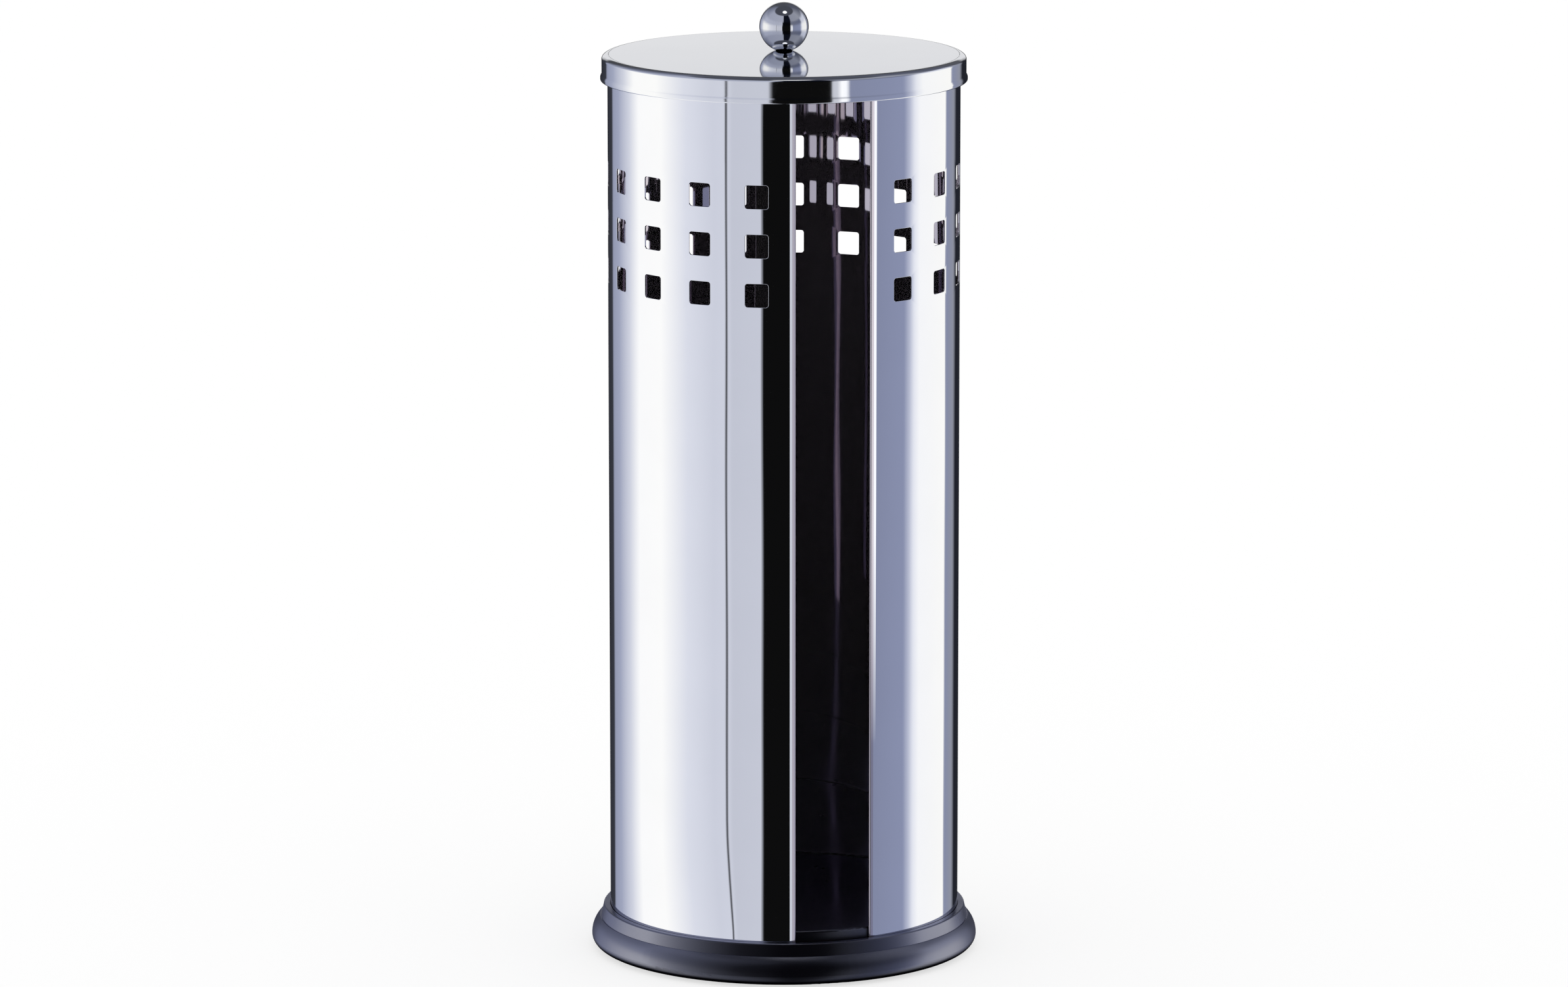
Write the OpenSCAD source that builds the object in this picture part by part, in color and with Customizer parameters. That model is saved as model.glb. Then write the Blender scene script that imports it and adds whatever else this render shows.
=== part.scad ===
// Toilet roll storage holder: a slotted steel tube on a plastic foot, closed by a lift-off lid.
// The origin is at the middle of the ground under the foot, +Z is up and the slot faces -Y.

/* [Tube] */
// Outside diameter of the steel tube
tube_d = 130; // [105:1:160]
// Height of the tube, from the groove in the base to the top of its rolled edge
tube_h = 328; // [220:1:420]
// Thickness of the tube's sheet
tube_sheet = 0.6; // [0.4:0.1:1]
// Width of the hollow inside the bead that is rolled outwards round the tube's top edge
rim_bead_bore = 0.7; // [0.4:0.1:2]

/* [Slot] */
// Clear width of the slot, between its folded edges
slot_w = 28; // [16:1:40]
// Width of the flat land on each side of the slot
slot_land = 2.7; // [1.5:0.1:5]
// Width of the fold that lies back against the inside of the wall
slot_return = 4; // [2:0.5:6]

/* [Square holes] */
// Width and height of a hole
hole_w = 8.6; // [5:0.1:10.4]
// Radius of a hole's corners
hole_corner = 1; // [0.3:0.1:2]
// Number of columns of holes round the tube
hole_cols = 17; // [8:1:18]
// Number of rows of holes
hole_rows = 3; // [1:1:6]
// Height from one row to the next
row_pitch = 18; // [13:0.5:24]
// Depth of the top row's middle below the tube's top edge
row_drop = 43; // [30:0.5:60]
// Distance along the wall from the slot's land to the middle of the nearest column
col_margin = 11.8; // [11:0.1:18]

/* [Base] */
// Height of the base from the underside of the foot to the rim round the tube
base_h = 15; // [14:0.5:24]
// How far the foot's widest line stands out from the tube
foot_out = 7; // [5:0.5:12]
// Radius of the round under the foot's widest line
foot_round = 3.6; // [1:0.1:4]
// Height of the upright band between the rim and the foot
band_h = 4.6; // [3:0.1:6]
// How far the band leans out from its top to its bottom
band_lean = 0.9; // [0:0.1:2]
// Width of the step between the band and the foot
band_step = 0.4; // [0.1:0.1:1.5]
// Width of the rim between the groove and the band
rim_w = 2.4; // [1.8:0.1:3.5]
// Height of the floor above the rim
floor_rise = 3.7; // [1:0.1:8]
// Depth of the groove that the tube stands in
groove_depth = 8.6; // [5:0.1:9.4]
// Thickness of the moulding's floor and walls
wall = 2.4; // [1.6:0.1:3]
// Clearance between the tube and the groove
tube_fit = 0.2; // [0.1:0.05:0.5]
// Thickness of the ribs under the floor
rib_w = 1.8; // [1:0.1:2.4]

/* [Lid] */
// Thickness of the lid's sheet
lid_sheet = 0.5; // [0.4:0.1:1]
// Height of the skirt, from the lid's rounded edge to the bead's underside
skirt_h = 9.5; // [9:0.5:25]
// Inside radius of the lid's rounded edge
lid_bend = 1.4; // [0.8:0.1:4]
// Rise of the lid's crown from its rounded edge to its middle
lid_crown = 1.4; // [0.5:0.1:6]
// Height of the folded bead round the skirt's lower edge
lid_bead_h = 2.6; // [1.6:0.1:4]
// Clearance between the skirt and the tube's rolled edge
lid_fit = 0.35; // [0.2:0.05:1]
// Gap between the lid's underside and the tube's top edge
lid_seat = 0.3; // [0.1:0.1:0.5]

/* [Knob] */
// Diameter of the ball
knob_d = 18.2; // [15:0.1:30]
// Diameter of the flat that the ball stands on
knob_flat = 6; // [5.4:0.1:10]
// Diameter of the knob's screw
knob_screw_d = 4; // [3:0.5:5]
// Length of the knob's screw under its head
knob_screw_l = 8; // [6:0.5:11]
// Diameter of the washer under the screw's head
washer_d = 9; // [8.5:0.5:14]
// Thickness of the washer
washer_h = 0.8; // [0.5:0.1:1.6]

/* [Fixings] */
// Width of the tabs that hold the tube to the base
tab_w = 12; // [8:1:18]
// Diameter of the base's screws
base_screw_d = 3; // [2.5:0.5:3.5]
// Length of the base's screws under their heads
base_screw_l = 9; // [6:0.5:10]
// Diameter of the rubber pads
pad_d = 12; // [8:0.5:13]
// How far the pads stand out below the foot
pad_proud = 0.8; // [0.5:0.1:2]
// Depth of the pockets that hold the pads
pad_sunk = 1.6; // [0.8:0.1:2]

/* [Hidden] */

$fn = 120;
steel = "#c6c9d3";
bright = "#d3d5dd";
black = "#2b2c34";
rubber = "#202022";
zinc = "#a9abb0";
eps = 0.05;
seat_gap = 0.02;
head_share = 0.95;
head_h_share = 0.6;

// Tube
tube_r = tube_d / 2;
tube_in_r = tube_r - tube_sheet;
fold_t = 2 * tube_sheet;
land_x = slot_w / 2 + slot_land;
land_y = sqrt(tube_r * tube_r - land_x * land_x);
rim_bead_r = rim_bead_bore / 2 + tube_sheet;
rim_crest_r = tube_in_r + rim_bead_r;
rim_out_r = tube_in_r + 2 * rim_bead_r;

// Heights of the base, from the ground up
foot_z = pad_proud;
foot_mid_z = foot_z + foot_round;
rim_z = foot_z + base_h;
band_z = rim_z - band_h;
floor_z = rim_z + floor_rise;
ceiling_z = floor_z - wall;
groove_z = rim_z - groove_depth;
tab_top_z = groove_z - wall;
tab_z = tab_top_z - tube_sheet;
tube_top = groove_z + tube_h;
bead_z = tube_top - rim_bead_r;

// Radii of the base
foot_r = tube_r + foot_out;
groove_r = tube_r + tube_fit;
rim_r = groove_r + rim_w;
band_low_r = rim_r + band_lean;
plug_r = norm([slot_w / 2, land_y - fold_t]) - tube_fit;
plug_in_r = plug_r - wall;
foot_in_r = groove_r + rim_w / 2;
foot_top_r = band_low_r + band_step;
foot_run = foot_r - foot_top_r;
foot_rise = band_z - foot_mid_z;
bulge_r = (foot_run * foot_run + foot_rise * foot_rise) / (2 * foot_run);
rim_edge = 0.6;
plug_edge = 0.8;

// Underside of the base
fixing_angles = [45, 135, 225, 315];
rib_count = 8;
rib_rise = 1.2;
rib_z = tab_top_z + rib_rise;
hub_r = 8;
screw_inset = 5.5;
screw_ring_r = plug_r - screw_inset;
boss_wall = 2.5;
boss_r = base_screw_d / 2 + boss_wall;
pilot_fit = 0.04;
pilot_rest = 1;
tab_past_screw = 5;
tab_in_r = screw_ring_r - tab_past_screw;
tab_bend = 0.8;
tab_bend_r = tab_bend + tube_sheet;
tab_hole_fit = 0.2;
tab_hole_r = base_screw_d / 2 + tab_hole_fit;
tab_gap = 0.5;
window_in_r = tube_r - tab_bend_r - tube_fit;
window_out_r = tube_r + tube_fit / 2;
pad_angles = [0, 90, 180, 270];
pad_inset = 6;
pad_ring_r = plug_r - pad_inset;
pad_fit = 0.15;
pad_wall = 1.6;
pad_rim = 0.4;
pad_rim_z = foot_z + pad_rim;
pad_h = pad_rim_z + pad_sunk;
pad_rest = 1;

// Lid
lid_edge = lid_bend + lid_sheet;
lid_r = rim_out_r + lid_fit + lid_sheet;
lid_edge_r = lid_r - lid_edge;
lid_edge_z = tube_top + lid_seat - lid_bend;
lid_rise = lid_edge + lid_crown;
lid_top = lid_edge_z + lid_rise;
crown_r = (pow(lid_edge_r, 2) + pow(lid_rise, 2) - pow(lid_edge, 2)) / (2 * lid_crown);
crown_z = lid_top - crown_r;
skirt_z = lid_edge_z + lid_edge - skirt_h;
bead_full_share = 0.3;
bead_full_z = skirt_z + lid_sheet + bead_full_share * (lid_bead_h - lid_sheet);
crown_fn = 4800;

// Knob and its screw
knob_r = knob_d / 2;
knob_z = lid_top + sqrt(knob_r * knob_r - knob_flat * knob_flat / 4);
washer_top = crown_z + sqrt(pow(crown_r - lid_sheet, 2) - pow(washer_d / 2, 2)) - seat_gap;
knob_head_z = washer_top - washer_h;
knob_bore_rest = 1;
knob_bore_l = knob_head_z + knob_screw_l - lid_top + knob_bore_rest;
shank_fit = 0.02;
hole_fit = 0.25;

// Square holes
pitch_mm = 360 / (2 * PI * tube_r);
first_col = asin(land_x / tube_r) + col_margin * pitch_mm;
col_pitch = (360 - 2 * first_col) / (hole_cols - 1);
punch_l = 6;
function col_angle(i) = first_col + i * col_pitch;
function row_z(i) = tube_top - row_drop - i * row_pitch;

// Turns to an angle that is counted from the slot, seen from above
module at_angle(angle) {
    rotate([0, 0, angle - 90]) children();
}

// Rectangle between two opposite corners
module box2(low, high) {
    translate(low) square(high - low);
}

module round_square(size, r) {
    inner = size / 2 - r;
    square([size, 2 * inner], center = true);
    square([2 * inner, size], center = true);
    for (x = [-inner, inner], y = [-inner, inner]) {
        translate([x, y]) circle(r, $fn = 24);
    }
}

// Pan head with its flat side at z = 0 and its rounded side below, with a cross recess
module pan_head(screw_d) {
    r = head_share * screw_d;
    h = head_h_share * screw_d;
    dome_z = h / 2 - 1.5 * r;
    recess_w = r / 4;
    recess_l = 1.2 * r;
    difference() {
        rotate([180, 0, 0]) rotate_extrude($fn = 48) intersection() {
            union() {
                box2([0, 0], [r, h / 2]);
                translate([0, dome_z]) circle(norm([r, h / 2 - dome_z]), $fn = 160);
            }
            box2([0, 0], [r, h]);
        }
        for (turn = [0, 90]) {
            rotate([0, 0, turn]) translate([-recess_l / 2, -recess_w / 2, -h - eps])
                cube([recess_l, recess_w, h / 2]);
        }
    }
}

// Outline of the base, from its axis outwards
module base_outline() {
    box2([0, foot_z], [foot_r - foot_round, foot_mid_z]);
    translate([foot_r - foot_round, foot_mid_z]) circle(foot_round);
    intersection() {
        translate([foot_r - bulge_r, foot_mid_z]) circle(bulge_r, $fn = 240);
        box2([0, foot_mid_z - eps], [foot_r, band_z]);
    }
    box2([0, foot_mid_z - eps], [band_low_r, band_z]);
    polygon([
        [0, band_z - eps], [band_low_r, band_z - eps], [band_low_r, band_z],
        [rim_r, rim_z - rim_edge], [rim_r - rim_edge, rim_z], [0, rim_z]
    ]);
    translate([rim_r - rim_edge, rim_z - rim_edge]) circle(rim_edge, $fn = 32);
    box2([0, rim_z - eps], [plug_r, floor_z - plug_edge]);
    box2([0, rim_z - eps], [plug_r - plug_edge, floor_z]);
    translate([plug_r - plug_edge, floor_z - plug_edge]) circle(plug_edge, $fn = 32);
}

module base_ribs() {
    translate([0, 0, rib_z]) linear_extrude(ceiling_z - rib_z + eps) {
        circle(hub_r);
        for (i = [0 : rib_count - 1]) {
            at_angle(i * 360 / rib_count) translate([0, -rib_w / 2]) square([plug_in_r + eps, rib_w]);
        }
    }
    for (angle = fixing_angles) {
        at_angle(angle) translate([screw_ring_r, 0, tab_top_z])
            cylinder(r = boss_r, h = ceiling_z - tab_top_z + eps, $fn = 48);
    }
    for (angle = pad_angles) {
        at_angle(angle) translate([pad_ring_r, 0, pad_rim_z])
            cylinder(r = pad_d / 2 + pad_wall, h = rib_z + pad_rest - pad_rim_z, $fn = 64);
    }
}

module base_moulding() {
    color(black) difference() {
        union() {
            rotate_extrude() difference() {
                base_outline();
                box2([plug_r, groove_z], [groove_r, floor_z]);
                box2([-1, -1], [plug_in_r, ceiling_z]);
                box2([-1, -1], [foot_in_r, tab_top_z]);
            }
            base_ribs();
        }
        for (angle = fixing_angles) {
            at_angle(angle) {
                intersection() {
                    translate([0, -tab_w / 2 - tab_gap, tab_z])
                        cube([groove_r, tab_w + 2 * tab_gap, groove_z - tab_z + 1]);
                    difference() {
                        cylinder(r = window_out_r, h = rim_z);
                        cylinder(r = window_in_r, h = rim_z);
                    }
                }
                translate([screw_ring_r, 0, tab_z])
                    cylinder(r = base_screw_d / 2 + pilot_fit, h = base_screw_l + pilot_rest, $fn = 32);
            }
        }
        for (angle = pad_angles) {
            at_angle(angle) translate([pad_ring_r, 0, 0])
                cylinder(r = pad_d / 2 + pad_fit, h = pad_h, $fn = 64);
        }
    }
}

// The folded edge on the right of the slot, seen from above
module slot_fold() {
    intersection() {
        circle(tube_r);
        union() {
            box2([slot_w / 2 + tube_sheet, -land_y], [land_x + tube_sheet, fold_t - land_y]);
            translate([slot_w / 2 + tube_sheet, tube_sheet - land_y]) circle(tube_sheet, $fn = 32);
            intersection() {
                difference() {
                    circle(tube_r);
                    circle(tube_r - fold_t);
                }
                box2([land_x, -tube_r], [land_x + slot_return, 0]);
            }
        }
    }
}

// Section of the wall, with the bead that is rolled outwards round the top edge
module wall_section() {
    bore_r = rim_bead_bore / 2;
    translate([rim_crest_r, bead_z]) difference() {
        union() {
            circle(rim_bead_r, $fn = 32);
            box2([-rim_bead_r, tab_z + tab_bend_r - bead_z], [-bore_r, 0]);
        }
        circle(bore_r, $fn = 32);
        box2([-bore_r, -rim_bead_r - 1], [0, 0]);
    }
}

// Section of the tabs that are bent inwards under the base
module tab_section() {
    box2([tab_in_r, tab_z], [tube_r - tab_bend_r, tab_top_z]);
    translate([tube_r - tab_bend_r, tab_z + tab_bend_r]) intersection() {
        difference() {
            circle(tab_bend_r, $fn = 48);
            circle(tab_bend, $fn = 48);
        }
        box2([0, -tab_bend_r], [tab_bend_r, 0]);
    }
}

// What is cut from the tube's foot, which leaves the tabs
module between_tabs() {
    difference() {
        cylinder(r = tube_r + 1, h = groove_z);
        for (angle = fixing_angles) {
            at_angle(angle) translate([0, -tab_w / 2, -1]) cube([tube_r + 2, tab_w, groove_z + 2]);
        }
    }
}

module tube_shell() {
    color(steel) difference() {
        union() {
            difference() {
                rotate_extrude() {
                    wall_section();
                    tab_section();
                }
                translate([-land_x, -rim_out_r - 1, groove_z - 1])
                    cube([2 * land_x, rim_out_r, tube_h + 2]);
            }
            translate([0, 0, groove_z]) linear_extrude(bead_z - groove_z) {
                slot_fold();
                mirror([1, 0]) slot_fold();
            }
        }
        between_tabs();
        for (angle = fixing_angles) {
            at_angle(angle) translate([screw_ring_r, 0, 0])
                cylinder(r = tab_hole_r, h = groove_z, $fn = 32);
        }
        for (col = [0 : hole_cols - 1], row = [0 : hole_rows - 1]) {
            at_angle(col_angle(col)) translate([tube_r - punch_l / 2, 0, row_z(row)])
                rotate([90, 0, 90]) linear_extrude(punch_l) round_square(hole_w, hole_corner);
        }
    }
}

// Half section of the lid's outside, moved inwards by t
module lid_outline(t) {
    tangent_r = lid_edge_r * crown_r / (crown_r - lid_edge);
    box2([0, skirt_z], [lid_r - t, lid_edge_z]);
    translate([lid_edge_r, lid_edge_z]) circle(lid_edge - t, $fn = 64);
    intersection() {
        translate([0, crown_z]) circle(crown_r - t, $fn = crown_fn);
        box2([0, lid_edge_z - 1], [tangent_r, lid_top]);
    }
}

module lid_shell() {
    color(steel) difference() {
        rotate_extrude() {
            difference() {
                lid_outline(0);
                lid_outline(lid_sheet);
                box2([-1, skirt_z - 1], [lid_r + 1, skirt_z + lid_sheet]);
            }
            translate([lid_r, skirt_z + lid_sheet]) circle(lid_sheet, $fn = 32);
            polygon([
                [lid_r - lid_sheet, skirt_z + lid_sheet], [lid_r + lid_sheet, skirt_z + lid_sheet],
                [lid_r + lid_sheet, bead_full_z], [lid_r, skirt_z + lid_bead_h],
                [lid_r - lid_sheet, skirt_z + lid_bead_h]
            ]);
        }
        translate([0, 0, lid_edge_z]) cylinder(r = knob_screw_d / 2 + hole_fit, h = 2 * lid_rise, $fn = 32);
    }
}

module knob_ball() {
    color(bright) difference() {
        translate([0, 0, knob_z]) sphere(knob_r);
        translate([-knob_r, -knob_r, lid_top - knob_d]) cube(knob_d);
        translate([0, 0, lid_top - 1])
            cylinder(r = knob_screw_d / 2 + shank_fit, h = knob_bore_l + 1, $fn = 32);
    }
}

module knob_screw() {
    color(zinc) translate([0, 0, knob_head_z]) {
        pan_head(knob_screw_d);
        cylinder(r = knob_screw_d / 2, h = knob_screw_l, $fn = 32);
    }
}

module knob_washer() {
    color(zinc) translate([0, 0, knob_head_z]) difference() {
        cylinder(r = washer_d / 2, h = washer_h, $fn = 48);
        translate([0, 0, -1]) cylinder(r = knob_screw_d / 2 + hole_fit, h = washer_h + 2, $fn = 32);
    }
}

module base_screws() {
    color(zinc) for (angle = fixing_angles) {
        at_angle(angle) translate([screw_ring_r, 0, tab_z]) {
            pan_head(base_screw_d);
            cylinder(r = base_screw_d / 2, h = base_screw_l, $fn = 32);
        }
    }
}

module foot_pad(angle) {
    color(rubber) at_angle(angle) translate([pad_ring_r, 0, 0])
        cylinder(r = pad_d / 2, h = pad_h, $fn = 64);
}

base_moulding();
tube_shell();
lid_shell();
knob_ball();
knob_screw();
knob_washer();
base_screws();
foot_pad(pad_angles[0]);  // foot_pad_front
foot_pad(pad_angles[1]);  // foot_pad_right
foot_pad(pad_angles[2]);  // foot_pad_back
foot_pad(pad_angles[3]);  // foot_pad_left
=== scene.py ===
"""Looks of the toilet roll storage holder: polished steel tube and lid on a black plastic foot."""
import math

import bpy
import numpy as np
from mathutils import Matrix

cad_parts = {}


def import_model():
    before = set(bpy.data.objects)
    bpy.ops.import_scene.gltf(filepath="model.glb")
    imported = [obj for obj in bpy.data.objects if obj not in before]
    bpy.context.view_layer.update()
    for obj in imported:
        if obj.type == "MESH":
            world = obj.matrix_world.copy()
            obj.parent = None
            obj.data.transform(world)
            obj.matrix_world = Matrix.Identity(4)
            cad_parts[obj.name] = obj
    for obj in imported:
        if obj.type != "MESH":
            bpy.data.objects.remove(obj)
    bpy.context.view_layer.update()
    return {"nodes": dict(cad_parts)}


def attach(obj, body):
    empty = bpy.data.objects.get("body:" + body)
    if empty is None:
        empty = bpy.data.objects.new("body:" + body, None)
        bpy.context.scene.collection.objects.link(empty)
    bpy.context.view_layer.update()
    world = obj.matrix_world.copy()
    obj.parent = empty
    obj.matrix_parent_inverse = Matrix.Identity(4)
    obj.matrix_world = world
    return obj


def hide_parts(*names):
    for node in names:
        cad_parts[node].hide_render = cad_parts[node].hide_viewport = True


MM = 0.001

# Tube, in millimetres; angles are counted from the slot, in degrees, positive to the right
TUBE_R = 65.0
SHEET = 0.6
TUBE_IN_R = TUBE_R - SHEET
DEGREES_PER_MM = math.degrees(1 / TUBE_R)
SLOT_HALF = 14.0
LAND_X = 16.7
LAND_Y = math.sqrt(TUBE_R ** 2 - LAND_X ** 2)
LAND_ANGLE = math.degrees(math.asin(LAND_X / TUBE_R))
LAND_LEAN = 0.5
LAND_EASE = 0.35
RETURN_X = 20.7
TUBE_LOW = 7.2
BEAD_R = 0.95
BEAD_HOLLOW_R = 0.35
BEAD_MID = (TUBE_IN_R + BEAD_R, 334.25)
HOLE_W = 8.6
HOLE_CORNER = 1.0
HOLE_COLS = 17
COL_MARGIN = 11.8
HOLE_ROWS_Z = (256.2, 274.2, 292.2)
ROW_PITCH = 18.0
FIRST_COL = LAND_ANGLE + math.degrees(COL_MARGIN / TUBE_R)
COL_PITCH = (360 - 2 * FIRST_COL) / (HOLE_COLS - 1)
FIRST_SEAM = FIRST_COL - COL_PITCH / 2
CUT_ROUND = 0.1
TAB_ANGLES = (45, 135, 225, 315)
TAB_HALF = 6.0
TAB_LOW = 4.2
TAB_BEND = 0.8
TAB_IN_R = 52.54
SCREW_RING = 57.54
TAB_HOLE = 1.7

# Unevenness of the hand-finished wall. Each wave has a depth, a number of waves round the tube,
# the height in which it leans by a radian and a phase; the waves fade out at foot and top
WAVES = ((0.012, 5, 61, 0.6), (0.008, 11, -37, 1.9), (0.004, 23, 17, 0.0))
WAVES_FROM = (TUBE_LOW, TUBE_LOW + 30)
WAVES_UP_TO = (332, 320)
DIMPLE = 0.035
DIMPLE_REACH = 1.6

# How far the wall's shine turns, in degrees: to the slot near its edges, at the foot left of the
# slot between two pairs of angles, and on the right land at four heights
SLOT_PULL = 8.0
SLOT_PULL_REACH = 9.5
FOOT_PULL = 3.0
FOOT_PULL_NEAR = (26, 34)
FOOT_PULL_FAR = (-90, -50)
FOOT_PULL_Z = (60, 16)
FOOT_PULL_CURVE = 1.5
RIGHT_LAND_TURN = ((20.0, 90.0, 180.0, 330.0), (7.0, 4.2, 2.6, 2.4))

# Steps of the tube's mesh, and where the rings round a hole lie between its rim and the border
SIDE_STEPS = 12
CUT_STEPS = 3
HEM_STEPS = 12
LOW_WALL_STEPS = 40
HOLE_BAND_STEPS = 9
TOP_WALL_STEPS = 8
BEAD_STEPS = 24
WALL_END_STEPS = 2
RETURN_STEPS = 4
TAB_STEPS = 6
TAB_BEND_STEPS = 8
TAB_RINGS = (0, 0.3, 1)
OUTER_RINGS = (0, 0.03, 0.08, 0.16, 0.28, 0.45, 0.7, 1)
INNER_RINGS = (0, 0.1, 0.4, 1)
SLOPE_STEP = 0.01

# Lid and knob, in millimetres and degrees
LID_R = 67.15
LID_SHEET = 0.5
SKIRT_LOW = 326.5
LID_EDGE = (65.25, 334.1)
LID_EDGE_R = 1.9
LID_TOP = 337.4
CROWN_R = 1523.2
LID_BEAD_H = 2.6
BEAD_FULL_Z = 327.63
BEAD_SHINE = 0.35
LID_TIGHT_R = 1.2
LID_WIDE_R = 3.4
LID_TIGHT_TURN = 50.0
LID_HOLE = 2.25
SMALL_ROUND = 0.15
KNOB_R = 9.1
KNOB_FLAT = 3.0
KNOB_FLAT_EDGE = 1.2
KNOB_BORE = 2.02
KNOB_BORE_TOP = 345.07

# Steps of the meshes of lid and knob
LID_TURN_STEPS = 240
LIP_STEPS = 16
FLARE_STEPS = 12
TIGHT_STEPS = 12
WIDE_STEPS = 14
EDGE_IN_STEPS = 12
CROWN_STEPS = 24
SMALL_STEPS = 4
BALL_STEPS = 72
KNOB_TURN_STEPS = 144

# Camera, fitted to the photo: metres and degrees, but millimetres for lens and sensor
CAM_TURN = 16.5
CAM_DISTANCE = 2.9
CAM_HEIGHT = 0.7184
CAM_TILT = 10.682
CAM_LENS = 182.34
CAM_REACH = 50
SENSOR = 36.0

UP = np.array([0.0, 0.0, 1.0])
WHITE = (1, 1, 1, 1)


class Mesher:
    """Collects grids of points with exact normals into one mesh, in millimetres."""

    def __init__(self):
        self.points, self.normals, self.faces = [], [], []
        self.count = 0

    def grid(self, points, normals):
        rows, cols = points.shape[:2]
        self.points.append(points.reshape(-1, 3))
        self.normals.append(normals.reshape(-1, 3))
        index = self.count + np.arange(rows * cols).reshape(rows, cols)
        quads = np.stack([index[:-1, :-1], index[:-1, 1:], index[1:, 1:], index[1:, :-1]], -1)
        edge_a = points[:-1, 1:] - points[:-1, :-1]
        edge_b = points[1:, :-1] - points[:-1, :-1]
        facing = (np.cross(edge_a, edge_b) * normals[:-1, :-1]).sum()
        quads = quads.reshape(-1, 4)
        self.faces.append(quads if facing > 0 else quads[:, ::-1])
        self.count += rows * cols

    def build(self, name):
        points = np.concatenate(self.points) * MM
        normals = np.concatenate(self.normals)
        normals /= np.linalg.norm(normals, axis=1, keepdims=True)
        faces = np.concatenate(self.faces)
        mesh = bpy.data.meshes.new(name)
        mesh.from_pydata(points.tolist(), [], faces.tolist())
        mesh.polygons.foreach_set("use_smooth", [True] * len(mesh.polygons))
        mesh.normals_split_custom_set_from_vertices(normals.tolist())
        mesh.update()
        piece = bpy.data.objects.new(name, mesh)
        bpy.context.scene.collection.objects.link(piece)
        return piece


def line(start, end):
    """Straight part of a section. The outside is on the right of the way it runs."""
    points = np.array([start, end], float)
    along = points[1] - points[0]
    normal = np.array([along[1], -along[0]]) / np.hypot(*along)
    return points, np.stack([normal, normal])


def arc(centre, radius, start, end, steps, hollow=False):
    """Round part of a section, from angle to angle in degrees. The outside is away from the centre."""
    a = np.radians(np.linspace(start, end, steps + 1))
    out = np.stack([np.cos(a), np.sin(a)], 1)
    return np.array(centre) + radius * out, -out if hollow else out


def around(angle):
    """Unit vector outwards, at an angle counted from the slot."""
    a = np.radians(angle)
    return np.stack([np.sin(a), -np.cos(a), np.zeros_like(a)], -1)


def revolve(mesher, section, angles):
    """Turns a section of radius and height about the axis."""
    out = around(np.asarray(angles, float))
    for points, normals in section:
        place = points[:, None, :1] * out + points[:, None, 1:] * UP
        normal = normals[:, None, :1] * out + normals[:, None, 1:] * UP
        mesher.grid(place, normal)


def part_way(value, start, end):
    """0 at the start, 1 at the end and level beyond them."""
    return np.clip((value - start) / (end - start), 0, 1)


def dent(angle, z):
    """How far the wall lies off its true radius: slow waves and dimples at the holes."""
    a = np.radians(angle)
    waves = sum(depth * np.sin(count * a + z / rise + phase) for depth, count, rise, phase in WAVES)
    waves = waves * part_way(z, *WAVES_FROM) * part_way(z, *WAVES_UP_TO)
    column = (angle - FIRST_COL) / COL_PITCH
    away = (column - np.round(np.clip(column, 0, HOLE_COLS - 1))) * np.radians(COL_PITCH) * TUBE_R
    near = np.zeros_like(a)
    for row in HOLE_ROWS_Z:
        reach = np.maximum(np.abs(away), np.abs(z - row)) - HOLE_W / 2
        near = near + np.exp(-np.maximum(reach, 0) / DIMPLE_REACH)
    return waves - DIMPLE * near


def wall_place(angle, z, radius):
    r = radius + dent(angle, z)
    return r[..., None] * around(angle) + z[..., None] * UP


def either_side(angle):
    """The angle from the slot, negative on its left."""
    return np.where(angle > 180, angle - 360, angle)


def slot_pull(angle):
    """How far the wall's face turns towards the slot near its folded edges, in degrees."""
    side = either_side(angle)
    away = (np.abs(side) - LAND_ANGLE) * math.radians(1) * TUBE_R
    return -np.sign(side) * SLOT_PULL * np.exp(-np.maximum(away, 0) / SLOT_PULL_REACH)


def foot_pull(angle, z):
    """How far the wall's face turns left of the slot, just above the base, in degrees."""
    side = either_side(angle)
    beside = part_way(-side, *FOOT_PULL_NEAR) * part_way(side, *FOOT_PULL_FAR)
    return -FOOT_PULL * beside * part_way(z, *FOOT_PULL_Z) ** FOOT_PULL_CURVE


def wall(mesher, angle, z, outside):
    """Part of the wall's outer or inner face over arrays of angle and height."""
    radius = np.full_like(angle, TUBE_R if outside else TUBE_IN_R)
    step = SLOPE_STEP
    place = wall_place(angle, z, radius)
    along = wall_place(angle + step, z, radius) - wall_place(angle - step, z, radius)
    rise = wall_place(angle, z + step, radius) - wall_place(angle, z - step, radius)
    normal = np.cross(along, rise)
    normal /= np.linalg.norm(normal, axis=-1, keepdims=True)
    turn = np.radians(slot_pull(angle) + foot_pull(angle, z))
    x = normal[..., 0] * np.cos(turn) - normal[..., 1] * np.sin(turn)
    y = normal[..., 0] * np.sin(turn) + normal[..., 1] * np.cos(turn)
    normal = np.stack([x, y, normal[..., 2]], -1)
    mesher.grid(place, normal if outside else -normal)


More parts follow.
